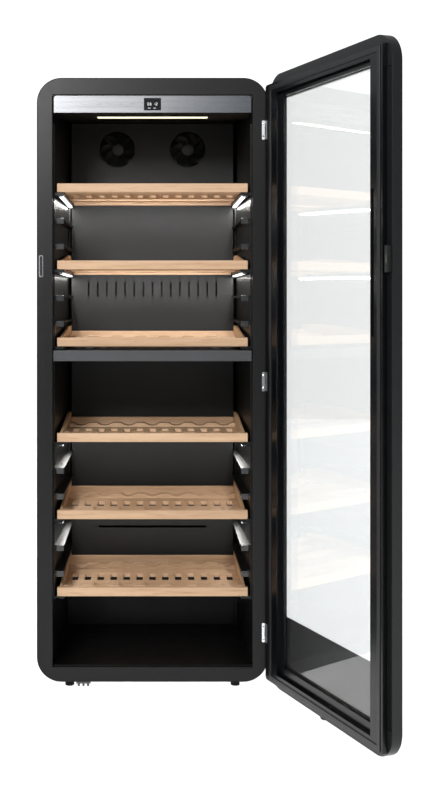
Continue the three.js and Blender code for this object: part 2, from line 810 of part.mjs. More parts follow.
/** The plastic ring on the door's inner face that holds the inner pane and the gasket. */
function doorLinerRing() {
  const { side, hingeSide, top, bottom, corner, raisedSide, raisedEnd, flat } = doorLiner;
  const outer = () =>
    roundedRect(side - doorHalf, doorHalf - hingeSide, bottom, cabinet.height - top, corner);
  const face = rimBack + GAP;
  const raisedHole = rect(
    raisedSide - doorHalf,
    doorHalf - raisedSide,
    bottom + raisedEnd,
    cabinet.height - top - raisedEnd,
  );
  const plate = prismY(withHole(outer(), glassRect(0)), face, face + flat);
  const raised = prismY(withHole(outer(), raisedHole), face, rimBack + linerHeight);
  const paneEdge = frontGlassRect(glazing.edge - GAP);
  const lip = prismY(withHole(paneEdge, glassRect(0)), innerPaneBack + GAP, face + 1);
  const grooveDeep = rimBack + linerHeight - gasket.depth;
  const fingerGroove = box(
    gripX - 4,
    gripX + 10,
    rimBack + linerHeight - 4,
    rimBack + linerHeight + 1,
    grip.centre - grip.height / 2,
    grip.centre + grip.height / 2,
  );
  const gasketGroove = prismY(gasketRing(GAP), grooveDeep - GAP, rimBack + linerHeight + 1);
  const hingeNotches = hinge.levels.map((level) =>
    box(
      hingeAxis.x - hinge.leaf - 1,
      doorHalf,
      face - 1,
      rimBack + linerHeight + 1,
      level - hinge.half - 2,
      level + hinge.half + 2,
    ),
  );
  return cut(join(plate, raised, lip), gasketGroove, fingerGroove, ...hingeNotches);
}

/** The gasket's outline, a rectangular ring, grown by a margin on both edges. */
function gasketRing(margin) {
  const { side, top, bottom } = gasket;
  const ring = (inset) =>
    rect(
      side + inset - doorHalf,
      doorHalf - side - inset,
      bottom + inset,
      cabinet.height - top - inset,
    );
  return withHole(ring(-margin), ring(gasket.width + margin));
}

function doorGasket() {
  const deep = rimBack + linerHeight - gasket.depth;
  return prismY(gasketRing(0), deep, -RUNNING);
}

/** A pane, which sits in the frame's rebate. */
const glassPane = (front) => prismY(frontGlassRect(glazing.edge - GAP), front, front + glazing.pane);

function glassSpacer() {
  const front = outerPaneFront + glazing.pane + GAP;
  const back = innerPaneBack - glazing.pane - GAP;
  const inner = glazing.edge - GAP - glazing.air;
  return prismY(withHole(frontGlassRect(glazing.edge - GAP), frontGlassRect(inner)), front, back);
}

function handleCup() {
  const deep = rimFront + grip.depth;
  return cut(prismY(gripRect(0), rimFront, deep), prismY(gripRect(-grip.wall), rimFront - 1, deep - grip.wall));
}

function lockBarrel() {
  const front = rimFront - 1.5;
  const barrel = rod("y", lock.barrel, front, rimFront + 16, lockX, lock.height, 20);
  const keyway = box(lockX - 1, lockX + 1, front - 1, front + 6, lock.height - 4, lock.height + 4);
  return cut(barrel, keyway);
}

function lockBolt() {
  const tip = bossFace - GAP;
  const { boltWidth, boltHeight, height } = lock;
  return box(
    lockX - boltWidth / 2,
    lockX + boltWidth / 2,
    boltBack,
    tip,
    height - boltHeight / 2,
    height + boltHeight / 2,
  );
}

/** The round pad under the door that glides on the floor of a niche. */
function doorGlide() {
  const profile = [
    [0, -10],
    [7, -10],
    [11, -7],
    [12, -3],
    [12, -GAP],
    [0, -GAP],
  ];
  return turned(profile, hingeAxis.x - 318, (rimFront + rimBack) / 2, 16);
}

// ---------------------------------------------------------------- assembly

const wineCooler = new THREE.Group();
const body = new THREE.Group(); // drawn from the front plane back
body.position.y = -cabinet.depth / 2;
wineCooler.add(body);

function add(parent, name, piece, look) {
  const mesh = new THREE.Mesh(geometryOf(piece), look);
  mesh.name = name;
  parent.add(mesh);
}

add(body, "outer_shell", outerShell(), material.casing);
add(body, "front_bezel", frontBezel(), material.casing);
add(body, "foam_insulation", foamInsulation(), material.foam);
add(body, "inner_liner", innerLiner(), material.linerPlastic);
add(body, "rear_panel", rearPanel(), material.galvanised);
add(body, "base_plate", basePlate(), material.galvanised);
for (const [name, where] of Object.entries(footPlaces))
  add(body, name, screwFoot(where), material.rubber);
add(body, "spare_hinge_plate", spareHingePlate(), material.blackSteel);

add(body, "compressor", compressor(), material.blackSteel);
add(body, "condenser_coil", condenserCoil(), material.blackSteel);
add(body, "rear_grille", rearGrille(), material.galvanised);
add(body, "power_inlet", powerInlet(), material.rubber);
add(body, "evaporator_plate", evaporator(), material.galvanised);
add(body, "upper_duct_panel", upperDuctPanel(), material.greyPlastic);
add(body, "lower_duct_panel", lowerDuctPanel(), material.greyPlastic);

const sides = { left: -1, right: 1 };
for (const [word, side] of Object.entries(sides)) {
  add(body, `fan_frame_${word}`, fanFrame(side), material.rubber);
  add(body, `fan_rotor_${word}`, fanRotor(side), material.greyPlastic);
}

add(body, "zone_divider", zoneDivider(), material.casing);
add(body, "divider_light", lampLens(40, 24, dividerBottom), material.light);
add(body, "control_box", controlBox(), material.linerPlastic);
add(body, "control_board", controlBoard(), material.board);
add(body, "control_fascia", controlFascia(), material.brushed);
add(body, "display_window", displayWindow(), material.blackGlass);
add(body, "ceiling_light", lampLens(lamp.front, lamp.depth, controlBottom), material.light);

const upperTops = shelfTops.slice(0, 3);
const lowerTops = shelfTops.slice(3);
const railBelow = rail.ledge + 4; // the rail's sheet goes on below its lowest ledge
for (const [word, side] of Object.entries(sides)) {
  const upper = sideRail(side, upperTops, dividerTop + 1, controlBottom - 30);
  const lower = sideRail(side, lowerTops, ledgeTop(lowerTops[2]) - railBelow, dividerBottom - 1);
  add(body, `side_rail_upper_${word}`, upper, material.linerPlastic);
  add(body, `side_rail_lower_${word}`, lower, material.linerPlastic);
  add(body, `side_light_upper_${word}`, sideLight(side, upperTops), material.light);
  add(body, `side_light_lower_${word}`, sideLight(side, lowerTops), material.light);
}

shelfTops.forEach((top, i) => add(body, `wine_shelf_${i + 1}`, wineShelf(top), material.beech));

add(body, "strike_plate", strikePlate(), material.chrome);
const hingeWords = ["upper", "middle", "lower"];
hinge.levels.forEach((level, i) =>
  add(body, `hinge_bracket_${hingeWords[i]}`, hingeBracket(level), material.chrome),
);

const doorPivot = new THREE.Group(); // turns about the hinge pins
doorPivot.position.set(hingeAxis.x, hingeAxis.y, 0);
doorPivot.rotation.z = THREE.MathUtils.degToRad(door.open);
body.add(doorPivot);
const doorShut = new THREE.Group(); // the door as it is drawn, shut
doorShut.position.set(-hingeAxis.x, -hingeAxis.y, 0);
doorPivot.add(doorShut);

add(doorShut, "door_frame", doorFrame(), material.doorMetal);
add(doorShut, "door_liner", doorLinerRing(), material.doorPlastic);
add(doorShut, "door_gasket", doorGasket(), material.rubber);
add(doorShut, "glass_outer", glassPane(outerPaneFront), material.glass);
add(doorShut, "glass_inner", glassPane(innerPaneBack - glazing.pane), material.glass);
add(doorShut, "glass_spacer", glassSpacer(), material.blackSteel);
add(doorShut, "handle_cup", handleCup(), material.doorMetal);
add(doorShut, "lock_barrel", lockBarrel(), material.chrome);
add(doorShut, "lock_bolt", lockBolt(), material.chrome);
add(doorShut, "door_glide", doorGlide(), material.rubber);
hinge.levels.forEach((level, i) =>
  add(doorShut, `door_hinge_ear_${hingeWords[i]}`, doorHingeEar(level), material.chrome),
);

export default wineCooler;
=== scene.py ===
"""A two-zone wine cooler with its glass door open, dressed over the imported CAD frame.

Shapes are drawn in millimetres: x to the right, y back from the cabinet's front plane, z up from
the base plate. Door pieces are drawn with the door shut and then swung open.
"""

import json
import math

import bmesh
import bpy
from mathutils import Matrix, Vector


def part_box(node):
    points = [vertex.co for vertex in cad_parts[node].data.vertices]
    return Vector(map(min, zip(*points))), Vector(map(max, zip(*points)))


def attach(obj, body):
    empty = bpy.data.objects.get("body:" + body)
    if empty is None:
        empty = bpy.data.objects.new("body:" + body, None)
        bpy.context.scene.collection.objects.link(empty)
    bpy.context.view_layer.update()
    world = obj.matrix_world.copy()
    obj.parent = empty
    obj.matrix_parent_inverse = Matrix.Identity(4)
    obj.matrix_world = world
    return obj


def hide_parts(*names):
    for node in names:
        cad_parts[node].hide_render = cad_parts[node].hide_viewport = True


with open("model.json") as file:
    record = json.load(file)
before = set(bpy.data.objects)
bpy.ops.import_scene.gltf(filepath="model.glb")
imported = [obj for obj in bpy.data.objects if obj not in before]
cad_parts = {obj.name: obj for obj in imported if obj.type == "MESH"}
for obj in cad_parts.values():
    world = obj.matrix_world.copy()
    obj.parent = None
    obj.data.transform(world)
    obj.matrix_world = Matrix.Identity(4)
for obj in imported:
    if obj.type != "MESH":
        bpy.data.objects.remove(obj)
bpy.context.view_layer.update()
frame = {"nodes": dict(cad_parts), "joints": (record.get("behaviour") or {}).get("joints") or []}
nodes = frame["nodes"]
scene = bpy.context.scene

MM = 0.001
SHARP = math.radians(35)  # edges turned by more than this are bevelled
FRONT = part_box("front_bezel")[0][1]
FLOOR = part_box("levelling_foot_left")[0][2]
PLACE = Matrix.Translation((0, FRONT, 0)) @ Matrix.Scale(MM, 4)
HINGE = Vector(next(j for j in frame["joints"] if j["name"] == "door_hinge")["pos_m"])
DOOR_OPEN = math.radians(110.5)
SWING = Matrix.Translation(HINGE) @ Matrix.Rotation(DOOR_OPEN, 4, "Z") @ Matrix.Translation(-HINGE)


def size(node):
    """A cabinet node's corners in drawing millimetres: x0, x1, y0, y1, z0, z1."""
    low, high = (PLACE.inverted() @ Vector(c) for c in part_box(node))
    return low.x, high.x, low.y, high.y, low.z, high.z


# ---------------------------------------------------------------- materials


class Shade:
    """One procedural material, built round a Principled BSDF."""

    def __init__(self, name, colour, rough=0.5, metal=0.0, **inputs):
        self.material = bpy.data.materials.new(name)
        self.material.use_nodes = True
        self.tree = self.material.node_tree
        self.bsdf = self.tree.nodes["Principled BSDF"]
        self.bsdf.inputs["Base Color"].default_value = (*colour, 1)
        self.bsdf.inputs["Roughness"].default_value = rough
        self.bsdf.inputs["Metallic"].default_value = metal
        for key, value in inputs.items():
            self.bsdf.inputs[key.replace("_", " ")].default_value = value
        self.colour = colour
        self.rough = rough
        self.last_bump = None

    def node(self, kind, **settings):
        made = self.tree.nodes.new(kind)
        for key, value in settings.items():
            if key in made.inputs:
                made.inputs[key].default_value = value
            else:
                setattr(made, key, value)
        return made

    def link(self, a, b):
        self.tree.links.new(a, b)

    def coordinates(self, stretch=(1, 1, 1), seeded=False):
        where = self.node("ShaderNodeTexCoord")
        mapping = self.node("ShaderNodeMapping")
        mapping.inputs["Scale"].default_value = stretch
        self.link(where.outputs["Object"], mapping.inputs["Vector"])
        if seeded:
            info = self.node("ShaderNodeObjectInfo")
            shift = self.node("ShaderNodeMath", operation="MULTIPLY")
            shift.inputs[1].default_value = 7
            self.link(info.outputs["Random"], shift.inputs[0])
            self.link(shift.outputs[0], mapping.inputs["Location"])
        return mapping.outputs["Vector"]

    def noise(self, scale, detail=3, stretch=(1, 1, 1), rough=0.5, seeded=False):
        made = self.node("ShaderNodeTexNoise", Scale=scale, Detail=detail, Roughness=rough)
        self.link(self.coordinates(stretch, seeded), made.inputs["Vector"])
        return made.outputs["Fac"]

    def cells(self, scale):
        made = self.node("ShaderNodeTexVoronoi", Scale=scale)
        self.link(self.coordinates(), made.inputs["Vector"])
        return made.outputs["Color"]

    def ramp(self, source, stops):
        made = self.node("ShaderNodeValToRGB")
        elements = made.color_ramp.elements
        while len(elements) < len(stops):
            elements.new(0.5)
        for element, (place, colour) in zip(elements, stops):
            element.position = place
            element.color = (*colour, 1) if len(colour) == 3 else colour
        self.link(source, made.inputs["Fac"])
        return made.outputs["Color"]

    def vary_colour(self, source, amount):
        """The base colour swings this share darker and lighter with a texture."""
        dark = [c * (1 - amount) for c in self.colour]
        light = [min(1, c * (1 + amount)) for c in self.colour]
        self.link(self.ramp(source, [(0.3, dark), (0.7, light)]), self.bsdf.inputs["Base Color"])
        return self

    def vary_rough(self, source, amount):
        spread = self.node("ShaderNodeMapRange")
        spread.inputs["To Min"].default_value = max(0, self.rough - amount)
        spread.inputs["To Max"].default_value = min(1, self.rough + amount)
        self.link(source, spread.inputs["Value"])
        self.link(spread.outputs["Result"], self.bsdf.inputs["Roughness"])
        return self

    def bump(self, source, strength, distance=0.0005):
        made = self.node("ShaderNodeBump", Strength=strength, Distance=distance)
        self.link(source, made.inputs["Height"])
        if self.last_bump:
            self.link(self.last_bump, made.inputs["Normal"])
        self.last_bump = made.outputs["Normal"]
        self.link(self.last_bump, self.bsdf.inputs["Normal"])
        return self

    def painted_edge_highlight(self, amount):
        """Painted highlight: edges drawn lighter than the faces, picked out by the mesh's pointiness."""
        shape = self.node("ShaderNodeNewGeometry")
        edge_highlight = self.ramp(shape.outputs["Pointiness"], [(0.5, (0, 0, 0)), (0.58, (amount,) * 3)])
        mix = self.node("ShaderNodeMix", data_type="RGBA", blend_type="ADD")
        mix.inputs["Factor"].default_value = 0.25
        base = self.bsdf.inputs["Base Color"]
        if base.links:
            self.link(base.links[0].from_socket, mix.inputs["A"])
        else:
            mix.inputs["A"].default_value = (*self.colour, 1)
        self.link(edge_highlight, mix.inputs["B"])
        self.link(mix.outputs["Result"], base)
        return self


def moulded(name, colour, rough, grain=2600, strength=0.25, **more):
    """Plastic with a fine spark-eroded grain and slight gloss changes."""
    made = Shade(name, colour, rough, **more)
    made.vary_colour(made.noise(9, 4), 0.08).vary_rough(made.noise(28, 3), 0.07)
    return made.bump(made.noise(grain, 2), strength, 0.0002)


def painted(name, colour, rough, **more):
    """Sprayed paint with a little orange peel."""
    made = Shade(name, colour, rough, **more)
    made.vary_colour(made.noise(5, 3), 0.05).vary_rough(made.noise(40, 4), 0.05)
    return made.bump(made.noise(900, 2), 0.12, 0.0002)


def brushed(name, colour, rough, stretch, strength=0.3, **more):
    """Metal brushed along one axis."""
    made = Shade(name, colour, rough, 1.0, **more)
    lines = made.noise(60, 5, stretch, 0.7)
    made.vary_colour(lines, 0.12).vary_rough(lines, 0.1)
    return made.bump(lines, strength, 0.0001)


def wood(name, stretch, tone):
    """Beech: long pale grain, short dark flecks and broad colour bands."""
    made = Shade(name, tone, 0.55)
    grain = made.noise(90, 6, stretch, 0.65, True)
    bands = made.noise(14, 3, stretch, 0.5, True)
    flecks = made.noise(420, 2, [s * 0.7 for s in stretch], 0.4, True)
    pale = [min(1, c * f) for c, f in zip(tone, (1.08, 1.09, 1.12))]
    deep = [c * f for c, f in zip(tone, (0.86, 0.79, 0.72))]
    first = made.ramp(grain, [(0.28, deep), (0.5, tone), (0.72, pale)])
    broad = made.ramp(bands, [(0.3, (0.86, 0.83, 0.8)), (0.7, (1, 1, 1))])
    spots = made.ramp(flecks, [(0.3, (0.72, 0.62, 0.52)), (0.4, (1, 1, 1))])
    tinted = made.node("ShaderNodeMix", data_type="RGBA", blend_type="MULTIPLY")
    tinted.inputs["Factor"].default_value = 1
    made.link(first, tinted.inputs["A"])
    made.link(broad, tinted.inputs["B"])
    flecked = made.node("ShaderNodeMix", data_type="RGBA", blend_type="MULTIPLY")
    flecked.inputs["Factor"].default_value = 0.5
    made.link(tinted.outputs["Result"], flecked.inputs["A"])
    made.link(spots, flecked.inputs["B"])
    made.link(flecked.outputs["Result"], made.bsdf.inputs["Base Color"])
    made.vary_rough(grain, 0.08)
    return made.bump(grain, 0.25, 0.0004)


def glowing(name, colour, strength):
    """A lit lens: small ribs brighten and dim it."""
    made = Shade(name, (0.9, 0.9, 0.9), 0.35)
    ribs = made.noise(160, 2)
    dimmed = [c * 0.92 for c in colour]
    made.link(
        made.ramp(ribs, [(0.3, dimmed), (0.7, colour)]),
        made.bsdf.inputs["Emission Color"],
    )
    made.bsdf.inputs["Emission Strength"].default_value = strength
    return made.bump(ribs, 0.2)


def fascia_silver():
    """Brushed metal with painted shading along it: a painted highlight a little left of the middle, painted
    shade toward both ends, darkest at the right-hand end.
    """
    made = brushed("silver", (0.21, 0.214, 0.223), 0.28, (0.02, 1, 1))
    where = made.node("ShaderNodeTexCoord")
    apart = made.node("ShaderNodeSeparateXYZ")
    made.link(where.outputs["Generated"], apart.inputs[0])
    # painted highlight and painted shade along the strip, by its own X
    falloff_stops = [(0.02, (0.7, 0.7, 0.7)), (0.42, (1, 1, 1)), (1.0, (0.48, 0.51, 0.54))]
    painted_falloff = made.ramp(apart.outputs["X"], falloff_stops)
    falloff_applied = made.node("ShaderNodeMix", data_type="RGBA", blend_type="MULTIPLY")
    falloff_applied.inputs["Factor"].default_value = 1
    made.link(made.bsdf.inputs["Base Color"].links[0].from_socket, falloff_applied.inputs["A"])
    made.link(painted_falloff, falloff_applied.inputs["B"])
    made.link(falloff_applied.outputs["Result"], made.bsdf.inputs["Base Color"])
    return made


def circuit():
    """Green lacquer over a grid of tracks."""
    made = Shade("circuit_board", (0.012, 0.09, 0.035), 0.4)
    tracks = made.node("ShaderNodeTexBrick", Scale=180)
    made.link(made.coordinates(), tracks.inputs["Vector"])
    tracks.inputs["Color1"].default_value = (0.012, 0.09, 0.035, 1)
    tracks.inputs["Color2"].default_value = (0.015, 0.11, 0.045, 1)
    tracks.inputs["Mortar"].default_value = (0.03, 0.2, 0.08, 1)
    made.link(tracks.outputs["Color"], made.bsdf.inputs["Base Color"])
    return made.bump(made.noise(400, 2), 0.2)


casing_paint = painted("casing_paint", (0.009, 0.0092, 0.0095), 0.4, Specular_IOR_Level=0.3)
# the last call on trim_paint paints a highlight onto its edges
trim_paint = painted("trim_paint", (0.0042, 0.0042, 0.0043), 0.36, Specular_IOR_Level=0.24).painted_edge_highlight(0.05)
liner_plastic = moulded("liner_plastic", (0.0026, 0.0028, 0.003), 0.36, Specular_IOR_Level=0.3)
duct_plastic = moulded("duct_plastic", (0.012, 0.0124, 0.0128), 0.5, Specular_IOR_Level=0.3)
fan_plastic = moulded("fan_plastic", (0.011, 0.0115, 0.012), 0.42, Specular_IOR_Level=0.3)
hub_plastic = moulded("hub_plastic", (0.028, 0.029, 0.031), 0.4, Specular_IOR_Level=0.3)
divider_plastic = moulded("divider_plastic", (0.038, 0.041, 0.044), 0.5)
galvanised = Shade("galvanised", (0.42, 0.43, 0.44), 0.42, 0.85)
galvanised.vary_colour(galvanised.cells(70), 0.22).vary_rough(galvanised.cells(70), 0.12)
galvanised.bump(galvanised.noise(500, 3), 0.1)
foam = Shade("foam", (0.75, 0.64, 0.34), 0.95)
foam.vary_colour(foam.noise(60, 4), 0.15).bump(foam.cells(500), 0.4, 0.001)
rubber = moulded("rubber", (0.0045, 0.0045, 0.005), 0.62, 900, 0.2, Specular_IOR_Level=0.15)
# the last call on black_steel paints a highlight onto its edges
black_steel = painted("black_steel", (0.012, 0.012, 0.013), 0.34).painted_edge_highlight(0.35)
silver = fascia_silver()
chrome = brushed("chrome", (0.72, 0.73, 0.75), 0.16, (1, 1, 0.05), 0.08)
display_glass = moulded("display_glass", (0.002, 0.003, 0.0035), 0.3, 300, 0.02, Specular_IOR_Level=0.12)
beech_x = wood("beech_along_x", (0.05, 1, 1), (0.57, 0.38, 0.235))
beech_y = wood("beech_along_y", (1, 0.05, 1), (0.6, 0.4, 0.23))
lamp_glow = glowing("lamp_glow", (1, 0.95, 0.62), 1.25)
side_glow = glowing("side_glow", (0.98, 0.99, 1), 3)
digit_glow = glowing("digit_glow", (0.85, 0.95, 1), 0.9)
mark_print = moulded("mark_print", (0.12, 0.125, 0.14), 0.4, 300, 0.05)
# the last call on door_paint paints a highlight onto its edges
door_paint = painted("door_paint", (0.006, 0.0064, 0.0066), 0.34, Specular_IOR_Level=0.25).painted_edge_highlight(0.05)
door_plastic = moulded("door_plastic", (0.0022, 0.0026, 0.0034), 0.24, 1800, 0.1, Specular_IOR_Level=0.3)
gasket_rubber = moulded("gasket_rubber", (0.006, 0.006, 0.007), 0.45, 1200, 0.1)

board = circuit()
glass = Shade("clear_glass", (0.985, 0.995, 0.992), 0.0, IOR=1.45, Transmission_Weight=1.0)
glass.bump(glass.noise(3, 2), 0.01, 0.0005)


# ---------------------------------------------------------------- mesh code


class Draw:
    """Collects closed solids in drawing millimetres, then makes one object of them."""

    def __init__(self):
        self.mesh = bmesh.new()

    def loft(self, rings, close=False, material=0):
        """Quads between rings of points; the ends are capped unless the rings close on themselves."""
        made = [[self.mesh.verts.new(p) for p in ring] for ring in rings]
        pairs = list(zip(made, made[1:]))
        if close:
            pairs.append((made[-1], made[0]))
        faces = []
        for a, b in pairs:
            for i in range(len(a)):
                j = (i + 1) % len(a)
                faces.append(self.mesh.faces.new((a[i], a[j], b[j], b[i])))
        if not close:
            faces.append(self.mesh.faces.new(list(reversed(made[0]))))
            faces.append(self.mesh.faces.new(made[-1]))
        for face in faces:
            face.material_index = material
        return self

    def prism(self, outline, axis, start, end, material=0):
        """An outline of two coordinates, in axis order, drawn out along the third axis."""
        at = {"x": lambda p, t: (t, *p), "y": lambda p, t: (p[0], t, p[1]), "z": lambda p, t: (*p, t)}
        rings = [[at[axis](p, t) for p in outline] for t in (start, end)]
        return self.loft(rings, material=material)

    def block(self, x0, x1, y0, y1, z0, z1, material=0):
        return self.prism([(x0, y0), (x1, y0), (x1, y1), (x0, y1)], "z", z0, z1, material)

    def lathe(self, profile, centre, axis="z", sides=40, material=0):
        """A profile of (radius, distance along the axis) pairs, turned about a line."""
        first, second = {"x": (1, 2), "y": (0, 2), "z": (0, 1)}[axis]
        along = {"x": 0, "y": 1, "z": 2}[axis]
        rings = []
        for radius, reach in profile:
            ring = []
            for i in range(sides):
                turn = 2 * math.pi * i / sides
                point = list(centre)
                point[first] += radius * math.cos(turn)
                point[second] += radius * math.sin(turn)
                point[along] += reach
                ring.append(point)
            rings.append(ring)
        return self.loft(rings, material=material)

    def ring(self, outer, inner, axis, start, end, material=0):
        """A flat frame between two outlines with the same number of points."""
        at = {"x": lambda p, t: (t, *p), "y": lambda p, t: (p[0], t, p[1]), "z": lambda p, t: (*p, t)}
        put = at[axis]
        loops = [
            [put(p, start) for p in outer],
            [put(p, end) for p in outer],
            [put(p, end) for p in inner],
            [put(p, start) for p in inner],
        ]
        return self.loft(loops, close=True, material=material)

    def make(self, name, body, materials, bevel=0.0, on_door=False):
        bmesh.ops.recalc_face_normals(self.mesh, faces=self.mesh.faces)
        self.mesh.transform(SWING @ PLACE if on_door else PLACE)
        data = bpy.data.meshes.new(name)
        self.mesh.to_mesh(data)
        self.mesh.free()
        made = bpy.data.objects.new(name, data)
        scene.collection.objects.link(made)
        for shade in materials:
            data.materials.append(shade.material)
        smooth_edges(made, bevel)
        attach(made, body)
        return made


def smooth_edges(made, bevel):
    """Rounds the sharp edges and shades the rest smooth."""
    for face in made.data.polygons:
        face.use_smooth = True
    if bevel:
        edges = made.modifiers.new("edges", "BEVEL")
        edges.width = bevel
        edges.segments = 2
        edges.limit_method = "ANGLE"
        edges.angle_limit = SHARP
        edges.harden_normals = True
        edges.miter_outer = "MITER_ARC"
    else:
        made.data.set_sharp_from_angle(angle=SHARP)


def dress(name, shade, bevel):
    """Gives a CAD node its material and soft edges; its own mesh stays as it is."""
    node = nodes[name]
    data = node.data
    if "custom_normal" in data.attributes:
        data.attributes.remove(data.attributes["custom_normal"])
    weld = node.modifiers.new("weld", "WELD")
    weld.merge_threshold = 1e-5
    smooth_edges(node, bevel)
    data.materials.clear()
    data.materials.append(shade.material)


def corner_path(x0, x1, z0, z1, radius, steps=8):
    """A rectangle's outline with round corners, anticlockwise from the lower right."""
    centres = [(x1, z0, 1, -1), (x1, z1, 1, 1), (x0, z1, -1, 1), (x0, z0, -1, -1)]
    points = []
    for k, (x, z, sx, sz) in enumerate(centres):
        for i in range(steps + 1):
            turn = math.radians(90 * (k - 1 + i / steps))
            cx, cz = x - sx * radius, z - sz * radius
            points.append((cx + radius * math.cos(turn), cz + radius * math.sin(turn)))
    return points


# ---------------------------------------------------------------- CAD nodes that keep their shape

KEPT = {
    "outer_shell": (casing_paint, 0.0004),
    "front_bezel": (trim_paint, 0.0008),
    "foam_insulation": (foam, 0),
    "inner_liner": (liner_plastic, 0.0008),
    "rear_panel": (galvanised, 0.0003),
    "base_plate": (galvanised, 0.0003),
    "rear_foot_left": (rubber, 0.0005),
    "rear_foot_right": (rubber, 0.0005),
    "levelling_foot_left": (rubber, 0.0005),
    "levelling_foot_right": (rubber, 0.0005),
    "spare_hinge_plate": (black_steel, 0.0005),
    "compressor": (black_steel, 0.001),
    "condenser_coil": (black_steel, 0.0003),
    "rear_grille": (black_steel, 0.0003),
    "power_inlet": (rubber, 0.0006),
    "evaporator_plate": (galvanised, 0.0003),
    "upper_duct_panel": (duct_plastic, 0.0005),
    "lower_duct_panel": (duct_plastic, 0.0005),
    "fan_frame_left": (fan_plastic, 0.0008),
    "fan_frame_right": (fan_plastic, 0.0008),
    "zone_divider": (divider_plastic, 0.002),
    "control_box": (liner_plastic, 0.0005),
    "control_board": (board, 0.0002),
    "control_fascia": (silver, 0.0005),
    "display_window": (display_glass, 0.0004),
    "side_rail_upper_left": (liner_plastic, 0.0006),
    "side_rail_upper_right": (liner_plastic, 0.0006),
    "side_rail_lower_left": (liner_plastic, 0.0006),
    "side_rail_lower_right": (liner_plastic, 0.0006),
    "strike_plate": (chrome, 0.0003),
    "door_frame": (door_paint, 0.0012),
    "door_liner": (door_plastic, 0.0012),
    "door_gasket": (gasket_rubber, 0.0015),
    "glass_outer": (glass, 0.0006),
    "glass_inner": (glass, 0.0006),
    "glass_spacer": (black_steel, 0.0003),
    "handle_cup": (door_paint, 0.0006),
    "lock_barrel": (chrome, 0.0004),
    "lock_bolt": (chrome, 0.0004),
    "door_glide": (rubber, 0.0006),
    "door_hinge_ear_upper": (black_steel, 0.0003),
    "door_hinge_ear_middle": (black_steel, 0.0003),
    "door_hinge_ear_lower": (black_steel, 0.0003),
}
for name, (shade, bevel) in KEPT.items():
    dress(name, shade, bevel)

# ---------------------------------------------------------------- shelves

FASCIA_HEIGHT, FASCIA_DEPTH = 27, 18
BOARD_RISE = 28  # the side boards climb this far above the front board
BOARD_OUTER, BOARD_INNER = 284, 275
LEVEL_FROM = 350  # where the side board's top stops climbing
BACK_RAIL = 18
RAIL_HALF = 266
SEAT_PITCH, SEAT_RADIUS, SEAT_DEPTH, SEAT_BAR = 79, 38, 9, 48
SLOT_PITCH, SLOT_WIDTH, SLOT_LENGTH = 41.3, 21, 90
LEDGE_GAP = 0.5  # between a shelf and the ledge it slides on
BODY = {f"wine_shelf_{i}": f"shelf_{i}" for i in range(1, 7)}
BODY |= {"fan_rotor_left": "fan_left", "fan_rotor_right": "fan_right"}


def draw_shelf(node):
    """Front board, two side boards, two cradle bars, a slotted board and a back rail, each rounded."""
    x0, x1, y0, y1, z0, z1 = size(node)
    top = z1 - BOARD_RISE
    bottom = top - FASCIA_HEIGHT
    rear = y1
    behind = y0 + FASCIA_DEPTH
    inner = BOARD_INNER - 0.4
    along_x, along_y = 0, 1
    shelf = Draw()
    shelf.block(x0, x1, y0, behind - 0.2, bottom, top, along_x)
    for side in (-1, 1):
        a, b = sorted((side * BOARD_INNER, side * BOARD_OUTER))
        climb = [(behind, bottom), (rear, bottom), (rear, top + BOARD_RISE), (LEVEL_FROM, top + BOARD_RISE)]
        run = LEVEL_FROM - y0 - FASCIA_DEPTH
        rise = [(LEVEL_FROM - run * t, top + BOARD_RISE * (1 - t)) for t in (0.2, 0.4, 0.6, 0.8, 1)]
        shelf.prism(climb + rise, "x", a, b, along_y)
    for start in (behind + 20, rear - 100):
        seats = cradle_outline(inner, bottom, top - 2)
        shelf.prism(seats, "y", start, start + SEAT_BAR, along_x)
    slots(shelf, inner, behind + 75, behind + 287, top - 24, top - 12, along_x)
    shelf.block(-inner, inner, rear - BACK_RAIL, rear, bottom, top + 10, along_x)
    shelf.block(-RAIL_HALF, RAIL_HALF, rear - BACK_RAIL, rear, bottom - 8, bottom - 0.2, along_x)
    name = node.replace("wine_shelf", "shelf_boards")
    made = shelf.make(name, BODY[node], [beech_x, beech_y], 0.0016)
    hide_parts(node)


def cradle_outline(half, low, high):
    """A bar seen from the front: flat below, seven round seats above."""
    count = int(2 * half / SEAT_PITCH + 0.1)
    points = [(-half, low), (half, low), (half, high)]
    reach = math.acos((SEAT_RADIUS - SEAT_DEPTH) / SEAT_RADIUS)
    for i in reversed(range(count)):
        middle = (i - (count - 1) / 2) * SEAT_PITCH
        for k in range(11):
            turn = reach * (1 - 2 * k / 10)
            z = high - SEAT_DEPTH + SEAT_RADIUS * (1 - math.cos(turn))
            points.append((middle + SEAT_RADIUS * math.sin(turn), z))
    points.append((-half, high))
    return points


def slots(shelf, half, y0, y1, z0, z1, material):
    """A board made of two long rails and the short bars between its slots."""
    count = int((2 * half - 10) / SLOT_PITCH)
    a = (y0 + y1 - SLOT_LENGTH) / 2
    b = a + SLOT_LENGTH
    shelf.block(-half, half, y0, a, z0, z1, material)
    shelf.block(-half, half, b, y1, z0, z1, material)
    edges = [-half]
    for i in range(count):
        middle = (i - (count - 1) / 2) * SLOT_PITCH
        edges += [middle - SLOT_WIDTH / 2, middle + SLOT_WIDTH / 2]
    edges.append(half)
    for left, right in zip(edges[::2], edges[1::2]):
        shelf.block(left, right, a - 0.5, b + 0.5, z0 + 0.2, z1 - 0.2, material)


for number in range(1, 7):
    draw_shelf(f"wine_shelf_{number}")

# ---------------------------------------------------------------- fan rotors


